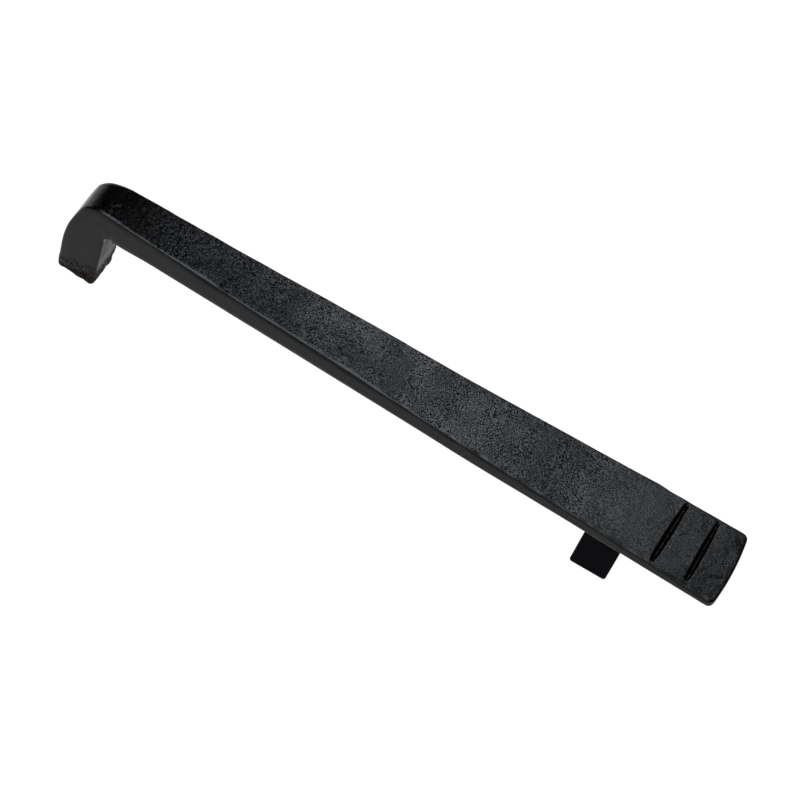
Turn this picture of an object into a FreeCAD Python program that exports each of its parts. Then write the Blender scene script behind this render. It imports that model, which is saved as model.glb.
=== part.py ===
"""Pull handle forged from square bar, as a parametric document.

One length of square bar is bent down at its heel to make a square leg, and is drawn out flat and wide
towards its free tip, where two gouges cross it.  A square post stands under the wide end.  A blind stud
and a dowel hold the post to the bar, and a tapped hole in the foot of the leg and of the post takes the
fixing screws that come through the door, shutter or window frame from behind.

Frame: the origin is midway between the two fixing holes on the mounting plane, +X runs to the free tip,
+Z points away from the mounting plane, and all but the dowel is symmetric about y = 0.  Millimetres.
"""
import math
import os

import FreeCAD, Part
import Sketcher

OUTPUT_FOLDER = "parts"

# Alias, value in millimetres and meaning of each driving dimension.
DRIVING_DIMENSIONS = [
    ("hole_centres", 203.2, "between the two fixing holes"),
    ("stock_side", 14.0, "side of the square post"),
    ("leg_thickness", 14.9, "leg, along the bar"),
    ("heel_width", 13.6, "bar across, at the back of the leg"),
    ("tip_width", 31.5, "bar across, at the free tip"),
    ("tip_bow", 1.0, "how far the tip's end face bulges"),
    ("tip_corner", 2.0, "plan radius of the tip's two corners"),
    ("overhang", 42.3, "post centre to the crown of the tip"),
    ("finger_clearance", 29.8, "underside of the bar above the mounting plane"),
    ("heel_height", 41.4, "top of the bar over the back of the leg"),
    ("tip_height", 32.9, "top of the bar at the tip"),
    ("shoulder_height", 23.0, "where the back of the leg starts to lean"),
    ("shoulder_lean", 5.5, "how far the leg leans by the top"),
    ("shoulder_radius", 44.0, "first, slow part of the bend's outside"),
    ("brow_radius", 8.6, "second, quick part of the bend's outside"),
    ("armpit_radius", 3.6, "inside of the bend"),
    ("edge_round", 0.7, "long top edges of the bar"),
    ("foot_chamfer", 0.9, "edges of the leg's foot"),
    ("groove_spacing", 12.1, "between the two gouges"),
    ("groove_setback", 12.2, "outer gouge to the crown of the tip"),
    ("groove_chord", 26.6, "length of a gouge along the surface"),
    ("groove_depth", 1.5, "depth at the middle of a gouge"),
    ("groove_floor", 1.0, "width of a gouge's floor"),
    ("groove_mouth", 3.3, "width of a gouge's mouth at its middle"),
    ("thread_drill", 5.0, "tapping drill of the fixing threads"),
    ("foot_thread_depth", 16.0, "full wall of the leg's tapped hole"),
    ("drill_point", 1.4, "cone left by the drill"),
    ("drill_point_end", 0.2, "diameter where that cone is cut short"),
    ("post_thread_depth", 17.0, "mounting plane to the end of the stud"),
    ("post_round", 0.9, "upright edges of the post"),
    ("post_chamfer", 0.7, "edges of the post's foot"),
    ("stud_seat", 6.0, "bore that the stud screws into"),
    ("stud_length", 15.6, "stud, end to end"),
    ("stud_chamfer", 0.6, "both ends of the stud"),
    ("hexagon_flats", 3.0, "hexagon in the stud, across flats"),
    ("hexagon_depth", 3.0, "depth of that hexagon"),
    ("dowel_seat", 2.5, "bore that the dowel stands in"),
    ("dowel_length", 5.4, "dowel, end to end"),
    ("dowel_in_bar", 2.4, "dowel above the post's top"),
    ("dowel_offset", 4.4, "dowel from the post's centre, along X and Y"),
    ("dowel_chamfer", 0.3, "both ends of the dowel"),
    ("fit_play", 0.02, "radial play of stud and dowel"),
]

# Places that several sketches share, as expressions on the sheet.
CENTRE_LINE = "0 * dimensions.hole_centres"
LEG_X = "-dimensions.hole_centres / 2"
POST_X = "dimensions.hole_centres / 2"
HEEL_X = "(-(dimensions.hole_centres + dimensions.leg_thickness) / 2)"
TIP_X = "(dimensions.hole_centres / 2 + dimensions.overhang)"
TOP_FALL = (
    "((dimensions.heel_height - dimensions.tip_height)"
    " / (%s - %s - dimensions.shoulder_lean))" % (TIP_X, HEEL_X)
)

doc = FreeCAD.newDocument("pull_handle")


def make_sheet():
    """Fill the spreadsheet that drives every sub-part."""
    sheet = doc.addObject("Spreadsheet::Sheet", "dimensions")
    for row, (alias, value, meaning) in enumerate(DRIVING_DIMENSIONS, start=1):
        sheet.set("A%d" % row, meaning)
        sheet.set("B%d" % row, str(value))
        sheet.setAlias("B%d" % row, alias)
    doc.recompute()
    return sheet


dimensions = make_sheet()


def evaluate(expression):
    """The number that an expression on the sheet gives, for a sketch's first guess."""
    return float(dimensions.evalExpression(expression.replace("dimensions.", "")))


def make_body(name, x=None, y=None, z=None):
    """A PartDesign body whose label names its file, placed by expressions where they are given."""
    body = doc.addObject("PartDesign::Body", name)
    body.Label = name
    for axis, expression in (("x", x), ("y", y), ("z", z)):
        if expression:
            body.setExpression("Placement.Base." + axis, expression)
    return body


def make_sketch(body, name, plane, offset=None):
    """A sketch on one of the body's own origin planes, offset along the plane's normal if asked."""
    sketch = body.newObject("Sketcher::SketchObject", name)
    support = [f for f in body.Origin.OriginFeatures if f.Role == plane][0]
    sketch.AttachmentSupport = [(support, "")]
    sketch.MapMode = "FlatFace"
    if offset:
        sketch.setExpression("AttachmentOffset.Base.z", offset)
    return sketch


def drive(sketch, name, kind, geometry, expression):
    """Add a dimension to a sketch's geometry and bind it to the sheet."""
    index = sketch.addConstraint(Sketcher.Constraint(kind, *geometry, evaluate(expression)))
    sketch.renameConstraint(index, name)
    sketch.setExpression("Constraints." + name, expression)


def drive_point(sketch, name, point, x, y):
    """Dimension a sketch's point from the origin along both axes."""
    drive(sketch, name + "_x", "DistanceX", (-1, 1) + point, x)
    drive(sketch, name + "_y", "DistanceY", (-1, 1) + point, y)


def add_outline(sketch, name, corners, bow_after=None, bow_radius=None):
    """Draw a closed outline through corners, each an (x, y) pair of expressions.

    The side that starts at corner number bow_after is an arc of bow_radius that bulges towards +X.
    """
    points = [FreeCAD.Vector(evaluate(x), evaluate(y), 0) for x, y in corners]
    first = sketch.GeometryCount
    count = len(points)
    for i, start in enumerate(points):
        end = points[(i + 1) % count]
        if i == bow_after:
            crown = (start + end) * 0.5 + FreeCAD.Vector(evaluate("dimensions.tip_bow"), 0, 0)
            sketch.addGeometry(Part.Arc(start, crown, end), False)
        else:
            sketch.addGeometry(Part.LineSegment(start, end), False)
    for i, (x, y) in enumerate(corners):
        following = first + (i + 1) % count
        sketch.addConstraint(Sketcher.Constraint("Coincident", first + i, 2, following, 1))
        drive_point(sketch, "%s_%d" % (name, i), (first + i, 1), x, y)
    if bow_after is not None:
        drive(sketch, name + "_bow", "Radius", (first + bow_after,), bow_radius)


def add_circle(sketch, diameter, x=CENTRE_LINE, y=CENTRE_LINE):
    """Draw a circle and dimension it by expressions."""
    centre = FreeCAD.Vector(evaluate(x), evaluate(y), 0)
    circle = Part.Circle(centre, FreeCAD.Vector(0, 0, 1), evaluate(diameter) / 2)
    index = sketch.addGeometry(circle, False)
    drive_point(sketch, "centre", (index, 3), x, y)
    drive(sketch, "diameter", "Diameter", (index,), diameter)


def add_square(sketch, name, half_x, half_y, x=CENTRE_LINE):
    """Draw a rectangle by the expressions of its half sides, centred on (x, 0)."""
    signs = (("-", "-"), ("+", "-"), ("+", "+"), ("-", "+"))
    corners = [("%s %s %s" % (x, sx, half_x), "%s%s" % (sy, half_y)) for sx, sy in signs]
    add_outline(sketch, name, corners)


def pad(body, sketch, length, symmetric=False):
    """Pad a sketch to the length that an expression gives."""
    feature = body.newObject("PartDesign::Pad", sketch.Name + "_pad")
    feature.Profile = sketch
    if symmetric:
        feature.SideType = "Symmetric"
    feature.setExpression("Length", length)
    doc.recompute()
    return feature


def require_bite(body, feature, before):
    """Stop if a cutting feature took nothing away."""
    doc.recompute()
    if feature.Shape.isNull() or body.Shape.Volume > before - 1e-3:
        raise RuntimeError(feature.Name + " cut nothing")


def pocket(body, sketch, depth=None, taper=0.0):
    """Cut a sketch upward, to a depth that an expression gives or right through."""
    doc.recompute()
    before = body.Shape.Volume
    feature = body.newObject("PartDesign::Pocket", sketch.Name + "_pocket")
    feature.Profile = sketch
    feature.Reversed = True
    feature.TaperAngle = taper
    if depth is None:
        feature.Type = "ThroughAll"
    else:
        feature.setExpression("Length", depth)
    require_bite(body, feature, before)
    return feature


def drill(body, name, diameter, depth, start=None, x=CENTRE_LINE, y=CENTRE_LINE):
    """A round flat-bottomed hole that runs up from the mounting plane, or from a start height."""
    sketch = make_sketch(body, name, "XY_Plane", start)
    add_circle(sketch, diameter, x, y)
    return pocket(body, sketch, depth)


def dress(body, kind, name, expression, test):
    """Put a Fillet or a Chamfer on the edges whose middle point and direction pass a test."""
    edges = []
    for i, edge in enumerate(body.Shape.Edges, start=1):
        halfway = (edge.FirstParameter + edge.LastParameter) / 2
        if test(edge.valueAt(halfway), edge.tangentAt(halfway)):
            edges.append("Edge%d" % i)
    if not edges:
        raise RuntimeError(name + " found no edge")
    base = body.Tip
    feature = body.newObject("PartDesign::" + kind, name)
    feature.Base = (base, edges)
    feature.setExpression("Radius" if kind == "Fillet" else "Size", expression)
    doc.recompute()
    if feature.Shape.isNull() or not feature.isValid():
        raise RuntimeError(name + " could not be made")
    return feature


# ---------------------------------------------------------------- grip bar


def add_bar_side(body):
    """Side view of the bar with its leg, corners still sharp, padded to more than its width."""
    sketch = make_sketch(body, "bar_side", "XZ_Plane")
    inner_face = HEEL_X + " + dimensions.leg_thickness"
    corners = [
        (HEEL_X, CENTRE_LINE),
        (inner_face, CENTRE_LINE),
        (inner_face, "dimensions.finger_clearance"),
        (TIP_X, "dimensions.finger_clearance"),
        (TIP_X, "dimensions.tip_height"),
        (HEEL_X + " + dimensions.shoulder_lean", "dimensions.heel_height"),
        (HEEL_X, "dimensions.shoulder_height"),
    ]
    add_outline(sketch, "side", corners)
    pad(body, sketch, "dimensions.tip_width * 1.2", symmetric=True)


def round_the_bend(body):
    """The bend's two outer radii and its inner one."""
    leg_end = evaluate(HEEL_X) + 2 * evaluate("dimensions.leg_thickness")
    for name, height in (
        ("shoulder", "dimensions.shoulder_height"),
        ("brow", "dimensions.heel_height"),
        ("armpit", "dimensions.finger_clearance"),
    ):
        level = evaluate(height)
        dress(
            body,
            "Fillet",
            name,
            "dimensions.%s_radius" % name,
            lambda middle, along: abs(along.y) > 0.99
            and abs(middle.z - level) < 0.1
            and middle.x < leg_end,
        )


def trim_to_plan(body):
    """Cut away what lies outside the bar's flared plan, out to a frame that clears it all round."""
    sketch = make_sketch(body, "bar_plan", "XY_Plane")
    add_square(sketch, "frame", "dimensions.hole_centres", "dimensions.tip_width")
    half_heel, half_tip = "dimensions.heel_width / 2", "dimensions.tip_width / 2"
    start, end = HEEL_X + " - dimensions.fit_play", TIP_X + " - dimensions.tip_bow"
    plan = [(start, "-" + half_heel), (end, "-" + half_tip), (end, half_tip), (start, half_heel)]
    bow_radius = "(%s * %s / dimensions.tip_bow + dimensions.tip_bow) / 2" % (half_tip, half_tip)
    add_outline(sketch, "plan", plan, bow_after=1, bow_radius=bow_radius)
    pocket(body, sketch)


def soften_bar_edges(body):
    """Round the tip's corners and the long top edges, and chamfer the leg's foot."""
    tip_side = evaluate(TIP_X) - 2 * evaluate("dimensions.tip_bow")
    inner_face = evaluate(HEEL_X) + evaluate("dimensions.leg_thickness")
    above_clearance = evaluate("dimensions.finger_clearance") + 2
    dress(
        body,
        "Fillet",
        "tip_corners",
        "dimensions.tip_corner",
        lambda middle, along: abs(along.z) > 0.99 and middle.x > tip_side,
    )
    dress(
        body,
        "Chamfer",
        "foot_edges",
        "dimensions.foot_chamfer",
        lambda middle, along: abs(middle.z) < 0.01 and middle.x < inner_face + 1,
    )
    dress(
        body,
        "Fillet",
        "top_edges",
        "dimensions.edge_round",
        lambda middle, along: middle.z > above_clearance
        and max(abs(along.z), abs(along.y)) < 0.9
        and abs(middle.y) > 1,
    )


def cut_gouge(body, name, x):
    """A flat-bottomed V turned about a high axis along X, so that both ends of the gouge run out."""
    depth, chord = "dimensions.groove_depth", "dimensions.groove_chord"
    floor = "(dimensions.tip_height + %s * (%s - %s) - %s)" % (TOP_FALL, TIP_X, x, depth)
    turning_radius = "(%s * %s / 4 / %s + %s) / 2" % (chord, chord, depth, depth)
    # The V keeps its slope up to a level well above the bar.
    height = "4 * " + depth
    half_floor = "dimensions.groove_floor / 2"
    half_head = half_floor + " + 2 * (dimensions.groove_mouth - dimensions.groove_floor)"
    sketch = make_sketch(body, name, "XZ_Plane")
    head_level = "%s + %s" % (floor, height)
    corners = [
        ("%s - %s" % (x, half_floor), floor),
        ("%s + %s" % (x, half_floor), floor),
        ("%s + %s" % (x, half_head), head_level),
        ("%s - (%s)" % (x, half_head), head_level),
    ]
    add_outline(sketch, name, corners)
    axis_level = "%s + %s" % (floor, turning_radius)
    ends = [("%s - %s" % (x, chord), axis_level), ("%s + %s" % (x, chord), axis_level)]
    start, end = [FreeCAD.Vector(evaluate(ex), evaluate(ey), 0) for ex, ey in ends]
    axis = sketch.addGeometry(Part.LineSegment(start, end), True)
    drive_point(sketch, "axis_start", (axis, 1), *ends[0])
    drive_point(sketch, "axis_end", (axis, 2), *ends[1])
    doc.recompute()
    before = body.Shape.Volume
    feature = body.newObject("PartDesign::Groove", name + "_cut")
    feature.Profile = sketch
    feature.ReferenceAxis = (sketch, ["Axis0"])
    feature.Angle = 360
    require_bite(body, feature, before)


def tap_the_foot(body):
    """The leg's tapped hole at its drill's diameter, with the drill's cone above it."""
    drill(body, "foot_thread", "dimensions.thread_drill", "dimensions.foot_thread_depth", x=LEG_X)
    cone = make_sketch(body, "foot_thread_point", "XY_Plane", "dimensions.foot_thread_depth")
    add_circle(cone, "dimensions.thread_drill", x=LEG_X)
    shrink = (evaluate("dimensions.thread_drill") - evaluate("dimensions.drill_point_end")) / 2
    taper = -math.degrees(math.atan(shrink / evaluate("dimensions.drill_point")))
    pocket(body, cone, "dimensions.drill_point", taper)


def make_grip_bar():
    """The bar with its bent leg, gouges, tapped foot and the seats of stud and dowel."""
    body = make_body("grip_bar")
    add_bar_side(body)
    round_the_bend(body)
    trim_to_plan(body)
    soften_bar_edges(body)
    outer_gouge = TIP_X + " - dimensions.groove_setback"
    cut_gouge(body, "outer_gouge", "(%s)" % outer_gouge)
    cut_gouge(body, "inner_gouge", "(%s - dimensions.groove_spacing)" % outer_gouge)
    tap_the_foot(body)
    stud_top = "dimensions.post_thread_depth + dimensions.stud_length"
    drill(
        body,
        "stud_seat",
        "dimensions.stud_seat",
        stud_top + " + dimensions.fit_play - dimensions.finger_clearance",
        start="dimensions.finger_clearance",
        x=POST_X,
    )
    drill(
        body,
        "dowel_seat",
        "dimensions.dowel_seat",
        "dimensions.dowel_in_bar + dimensions.fit_play",
        start="dimensions.finger_clearance",
        x=POST_X + " + dimensions.dowel_offset",
        y="dimensions.dowel_offset",
    )
    return body


# ---------------------------------------------------------------- post, stud and dowel


def make_standoff_post():
    """Square post, tapped from its foot, with the bores of stud and dowel in its top."""
    body = make_body("standoff_post", x=POST_X)
    section = make_sketch(body, "post_section", "XY_Plane")
    add_square(section, "post", "dimensions.stock_side / 2", "dimensions.stock_side / 2")
    pad(body, section, "dimensions.finger_clearance")
    dress(
        body,
        "Fillet",
        "post_uprights",
        "dimensions.post_round",
        lambda middle, along: abs(along.z) > 0.99,
    )
    dress(
        body,
        "Chamfer",
        "post_foot",
        "dimensions.post_chamfer",
        lambda middle, along: middle.z < 0.01,
    )
    drill(body, "post_thread", "dimensions.thread_drill", "dimensions.post_thread_depth")
    drill(
        body,
        "stud_thread",
        "dimensions.stud_seat",
        "dimensions.finger_clearance",
        start="dimensions.post_thread_depth",
    )
    dowel_foot = "dimensions.finger_clearance + dimensions.dowel_in_bar - dimensions.dowel_length"
    drill(
        body,
        "dowel_bore",
        "dimensions.dowel_seat",
        "dimensions.finger_clearance",
        start=dowel_foot + " - dimensions.fit_play",
        x="dimensions.dowel_offset",
        y="dimensions.dowel_offset",
    )
    return body


def make_round_bar(body, name, seat, length, chamfer):
    """A rod that fits a seat with the shared play, chamfered at both ends."""
    section = make_sketch(body, name, "XY_Plane")
    add_circle(section, seat + " - 2 * dimensions.fit_play")
    pad(body, section, length)
    middle_level = evaluate(length) / 2
    dress(
        body,
        "Chamfer",
        name + "_ends",
        chamfer,
        lambda middle, along: abs(along.z) < 0.01 and abs(middle.z - middle_level) > 0.1,
    )


def make_post_stud():
    """Headless stud that joins post and bar, with a hexagon for its key in the lower end."""
    body = make_body("post_stud", x=POST_X, z="dimensions.post_thread_depth")
    make_round_bar(
        body, "stud", "dimensions.stud_seat", "dimensions.stud_length", "dimensions.stud_chamfer"
    )
    hexagon = make_sketch(body, "stud_hexagon", "XY_Plane")
    corner_radius = "dimensions.hexagon_flats / 2 / cos(30)"
    corners = [
        ("%s * cos(%d)" % (corner_radius, angle), "%s * sin(%d)" % (corner_radius, angle))
        for angle in range(0, 360, 60)
    ]
    add_outline(hexagon, "hexagon", corners)
    pocket(body, hexagon, "dimensions.hexagon_depth")
    return body


def make_locating_dowel():
    """Small dowel that keeps the square post from turning on its stud."""
    body = make_body(
        "locating_dowel",
        x=POST_X + " + dimensions.dowel_offset",
        y="dimensions.dowel_offset",
        z="dimensions.finger_clearance + dimensions.dowel_in_bar - dimensions.dowel_length",
    )
    make_round_bar(
        body, "dowel", "dimensions.dowel_seat", "dimensions.dowel_length", "dimensions.dowel_chamfer"
    )
    return body


def check_and_export(bodies):
    """Stop on any failed object or bad shape, then write one STEP file per sub-part."""
    doc.recompute()
    for item in doc.Objects:
        if "Invalid" in item.State or "Error" in item.State:
            raise RuntimeError("%s failed: %s" % (item.Name, item.State))
    for body in bodies:
        shape = body.Shape
        if shape.isNull() or not shape.isValid() or len(shape.Solids) != 1:
            raise RuntimeError(body.Label + " is not one valid solid")
    os.makedirs(OUTPUT_FOLDER, exist_ok=True)
    for body in bodies:
        body.Shape.exportStep(os.path.join(OUTPUT_FOLDER, body.Label + ".step"))
        box = body.Shape.BoundBox
        print(
            "%-16s %8.1f mm3  x %.2f..%.2f  y %.2f..%.2f  z %.2f..%.2f"
            % (body.Label, body.Shape.Volume, box.XMin, box.XMax, box.YMin, box.YMax, box.ZMin, box.ZMax)
        )


check_and_export([make_grip_bar(), make_standoff_post(), make_post_stud(), make_locating_dowel()])
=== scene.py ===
"""Forged black pull handle: a bar drawn out of square stock, its bent leg and its square standoff post.

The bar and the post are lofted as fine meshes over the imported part, so that hammer dents, forge pits,
the worn foot, the gouges and the tapped holes are real shape.  Sizes are millimetres in the part's own
frame until a mesh is made: +X runs to the wide free tip, -Y is the near side, +Z to the user's hand.
"""

from __future__ import annotations

import itertools
import logging
import math
from dataclasses import dataclass, field
from enum import Enum
from typing import Any, Sequence

import bpy
import numpy as np
from mathutils import Matrix, Vector


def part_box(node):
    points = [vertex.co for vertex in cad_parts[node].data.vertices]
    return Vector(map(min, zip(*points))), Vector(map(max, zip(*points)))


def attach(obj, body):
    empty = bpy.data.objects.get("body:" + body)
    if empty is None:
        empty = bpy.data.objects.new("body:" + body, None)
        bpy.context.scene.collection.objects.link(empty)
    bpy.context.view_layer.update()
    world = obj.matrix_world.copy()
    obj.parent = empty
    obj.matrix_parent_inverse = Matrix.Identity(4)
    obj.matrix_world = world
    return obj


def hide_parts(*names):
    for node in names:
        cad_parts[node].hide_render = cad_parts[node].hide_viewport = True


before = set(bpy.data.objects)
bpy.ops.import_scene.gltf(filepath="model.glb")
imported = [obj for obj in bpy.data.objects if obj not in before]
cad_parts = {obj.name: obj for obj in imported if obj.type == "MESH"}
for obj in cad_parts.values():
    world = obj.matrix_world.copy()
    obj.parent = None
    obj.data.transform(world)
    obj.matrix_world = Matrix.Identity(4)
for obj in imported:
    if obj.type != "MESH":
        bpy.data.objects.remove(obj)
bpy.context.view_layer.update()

MM = 0.001
TURN = 2.0 * math.pi

# Inputs of the node that maps one range to another.
RANGE_LIMITS = ("From Min", "From Max", "To Min", "To Max")

# Multipliers and word size of the number mixer behind Lumps.
LATTICE_PRIMES = (73856093, 19349663, 83492791)
SEED_STEP, SEED_START = 7919, 13
MIXER = 0x45D9F3B
WORD = 0xFFFFFFFF

Array = np.ndarray
Material = bpy.types.Material
Node = bpy.types.Node
Piece = bpy.types.Object
Socket = bpy.types.NodeSocket

log = logging.getLogger("pull_handle")


# ------------------------------------------------------------------ numbers and small helpers


def linear_from_hex(code: str) -> tuple[float, float, float, float]:
    """Turn an sRGB hex colour into the linear colour that a shader socket takes.

    Args:
        code: Six hex digits after a hash sign.

    Returns:
        Linear red, green and blue, and an alpha of one.
    """
    channels = [int(code[i : i + 2], 16) / 255.0 for i in (1, 3, 5)]
    linear = [c / 12.92 if c <= 0.04045 else ((c + 0.055) / 1.055) ** 2.4 for c in channels]
    return (linear[0], linear[1], linear[2], 1.0)


def ease(low: float, high: float, value: Array) -> Array:
    """Rise smoothly from zero at low to one at high; falls instead where low is above high."""
    share = np.clip((value - low) / (high - low), 0.0, 1.0)
    return share * share * (3.0 - 2.0 * share)


def rounding(radius: float, depth: Array) -> Array:
    """How far a rounded edge stands back from its flat, at a depth below the edge's end."""
    return radius * (1 - np.sqrt(1 - np.clip(1 - depth / radius, 0, 1) ** 2))


def rim_depths(radius: float) -> list[float]:
    """Depths of the five stations that go round a rim of that radius."""
    return [radius * (1 - math.cos(k * TURN / 20)) for k in range(5)]


def cad_box_mm(node: str) -> tuple[Array, Array]:
    """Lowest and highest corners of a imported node, in millimetres."""
    low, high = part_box(node)
    return np.array(low) / MM, np.array(high) / MM


@dataclass(frozen=True)
class Knots:
    """A gentle wave given by a few offsets, eased from one to the next.

    Attributes:
        places: Where the offsets hold, as distances in millimetres.
        offsets: The offset at each place, in millimetres.
    """

    places: tuple[float, ...]
    offsets: tuple[float, ...]

    def at(self, distance: Array) -> Array:
        """Offset at each distance, level before the first place and after the last."""
        result = np.full(np.shape(distance), self.offsets[0], float)
        pairs = zip(self.places, self.places[1:], self.offsets, self.offsets[1:])
        for start, end, before, after in pairs:
            result = result + (after - before) * ease(start, end, distance)
        return result


@dataclass(frozen=True)
class Lumps:
    """Smooth random hills and hollows of one size, the same on every run.

    Attributes:
        size: Distance from a hill to the next hollow, in millimetres.
        seed: Picks the pattern.
        octaves: How many times the pattern is repeated at half the size and half the height.
    """

    size: float
    seed: int
    octaves: int = 1

    def at(self, points: Array) -> Array:
        """Height of the pattern, about -1 to 1, at points given in millimetres."""
        total = np.zeros(points.shape[:-1])
        for octave in range(self.octaves):
            total += self._layer(points / self.size * 2**octave, self.seed + octave) / 2**octave
        return total

    @staticmethod
    def _layer(cells: Array, seed: int) -> Array:
        """One octave: random heights on a lattice, eased between its corners."""
        base = np.floor(cells).astype(np.int64)
        part = cells - base
        part = part * part * (3.0 - 2.0 * part)
        total = np.zeros(cells.shape[:-1])
        for corner in itertools.product((0, 1), repeat=3):
            weight = np.prod(np.where(np.array(corner, bool), part, 1.0 - part), axis=-1)
            total += weight * Lumps._lattice(base + np.array(corner), seed)
        return total

    @staticmethod
    def _lattice(cells: Array, seed: int) -> Array:
        """A repeatable number from -1 to 1 for each lattice corner."""
        x, y, z = (cells[..., axis] * prime for axis, prime in enumerate(LATTICE_PRIMES))
        mixed = (x ^ y ^ z ^ (seed * SEED_STEP + SEED_START)) & WORD
        for _ in range(2):
            mixed = ((mixed ^ (mixed >> 16)) * MIXER) & WORD
        mixed = mixed ^ (mixed >> 16)
        return mixed / float(WORD >> 1) - 1.0


class RoundedPath:
    """A path in the XZ plane whose corners are arcs, read by its length."""

    def __init__(self, corners: Sequence[tuple[float, float]], radii: Sequence[float]) -> None:
        """Lay the path out.

        Args:
            corners: (x, z) of both ends and of every corner between.
            radii: One radius for each corner between the ends.
        """
        points = [np.array(corners[0], float)]
        for before, corner, after, radius in zip(corners, corners[1:], corners[2:], radii):
            points.extend(self._arc(np.array(before), np.array(corner), np.array(after), radius))
        points.append(np.array(corners[-1], float))
        self.points = np.array(points)
        steps = np.linalg.norm(np.diff(self.points, axis=0), axis=1)
        self.lengths = np.concatenate(([0.0], np.cumsum(steps)))

    @staticmethod
    def _arc(before: Array, corner: Array, after: Array, radius: float) -> Array:
        """Points on the arc that replaces one corner."""
        back = (before - corner) / np.linalg.norm(before - corner)
        ahead = (after - corner) / np.linalg.norm(after - corner)
        half_angle = math.acos(float(back @ ahead)) / 2.0
        bisector = (back + ahead) / np.linalg.norm(back + ahead)
        centre = corner + bisector * radius / math.sin(half_angle)
        reach = radius / math.tan(half_angle)
        start, end = corner + back * reach - centre, corner + ahead * reach - centre
        sweep = math.pi - 2.0 * half_angle
        share = np.linspace(0.0, 1.0, 65)[:, None]
        turned = np.sin((1 - share) * sweep) * start + np.sin(share * sweep) * end
        return centre + turned / math.sin(sweep)

    def at(self, length: Array) -> Array:
        """(x, z) at each length along the path."""
        return np.stack([np.interp(length, self.lengths, self.points[:, i]) for i in (0, 1)], axis=-1)

    def length_at(self, axis: int, value: float) -> float:
        """Length at which the path first reaches a value of x (axis 0) or z (axis 1)."""
        column = self.points[:, axis]
        k = int(np.argmax(column >= value))
        share = (value - column[k - 1]) / (column[k] - column[k - 1])
        return float(self.lengths[k - 1] + share * (self.lengths[k] - self.lengths[k - 1]))


# ------------------------------------------------------------------ lofted rings


class Flank(Enum):
    """The four flats of a bar's section, in the order that its ring runs round them."""

    OUTER = 0
    FAR = 1
    INNER = 2
    NEAR = 3


@dataclass(frozen=True)
class CornerRadii:
    """Radii of a section's corners at every station, in millimetres."""

    outer_near: Array
    outer_far: Array
    inner: Array

    def limited(self, thickness: Array) -> CornerRadii:
        """The same radii, kept small enough for the bar's thickness."""
        most = 0.46 * thickness
        return CornerRadii(*(np.minimum(r, most) for r in (self.outer_near, self.outer_far, self.inner)))


@dataclass(frozen=True)
class Section:
    """A rectangle with rounded corners, cut into the same number of points at every station.

    Attributes:
        across: Cells across each of the two broad flats.
        deep: Cells down each of the two narrow flats; odd, so that an end can be zipped shut.
        round: Cells round each corner.
    """

    across: int = 56
    deep: int = 5
    round: int = 4

    def walk(self) -> Array:
        """The ring's points on a unit rectangle: y, b, and the corner's unit offsets along y and b."""
        places = []
        signs = [(-1, 1), (1, 1), (1, -1), (-1, -1)]
        for flank in Flank:
            cells = self.across if flank in (Flank.OUTER, Flank.INNER) else self.deep
            angle = flank.value * TURN / 4
            start, end = np.array(signs[flank.value]), np.array(signs[(flank.value + 1) % 4])
            for k in range(cells + 1):
                places.append((*(start + (end - start) * k / cells), math.sin(angle), math.cos(angle)))
            for k in range(1, self.round):
                turned = angle + k / self.round * TURN / 4
                places.append((*end, math.sin(turned), math.cos(turned)))
        return np.array(places)

    def rings(
        self, inner: Array, outer: Array, near: Array, far: Array, radii: CornerRadii
    ) -> Array:
        """Place the section at every station.

        Args:
            inner: (x, z) of the inner face at each station.
            outer: (x, z) of the outer face at each station.
            near: Reach of the section towards -Y.
            far: Reach of the section towards +Y.
            radii: Radii of its corners.

        Returns:
            Points as stations by ring points by three.
        """
        y, b, turn_y, turn_b = self.walk().T
        thickness = np.linalg.norm(outer - inner, axis=1)
        radii = radii.limited(thickness)
        outer_near, outer_far = radii.outer_near[:, None], radii.outer_far[:, None]
        low_radius = radii.inner[:, None]
        high_radius = np.where(y < 0, outer_near, outer_far)
        radius = np.where(b > 0, high_radius, low_radius)
        left = np.where(b > 0, outer_near, low_radius) - near[:, None]
        right = far[:, None] - np.where(b > 0, outer_far, low_radius)
        across = left + (right - left) * (y + 1) / 2 + radius * turn_y
        room = thickness[:, None] - high_radius - low_radius
        depth = low_radius + room * (b + 1) / 2 + radius * turn_b
        share = (depth / thickness[:, None])[..., None]
        plane = inner[:, None, :] + (outer - inner)[:, None, :] * share
        return np.stack([plane[..., 0], across, plane[..., 1]], axis=-1)

    def zipped(self, ring: Array) -> list[list[int]]:
        """Faces that close a ring with strips from its outer half to its inner half."""
        rolled = np.roll(ring, (self.round - 1) + (self.deep + 1) // 2).tolist()
        mirror = rolled[::-1]
        return [[rolled[k], rolled[k + 1], mirror[k + 1], mirror[k]] for k in range(len(ring) // 2 - 1)]


def grid_normals(rings: Array) -> Array:
    """Outward unit normals of a loft, one for each of its points."""
    along = np.gradient(rings, axis=0)
    around = np.roll(rings, -1, axis=1) - np.roll(rings, 1, axis=1)
    normal = np.cross(along, around)
    return normal / np.maximum(np.linalg.norm(normal, axis=-1, keepdims=True), 1e-9)


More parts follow.
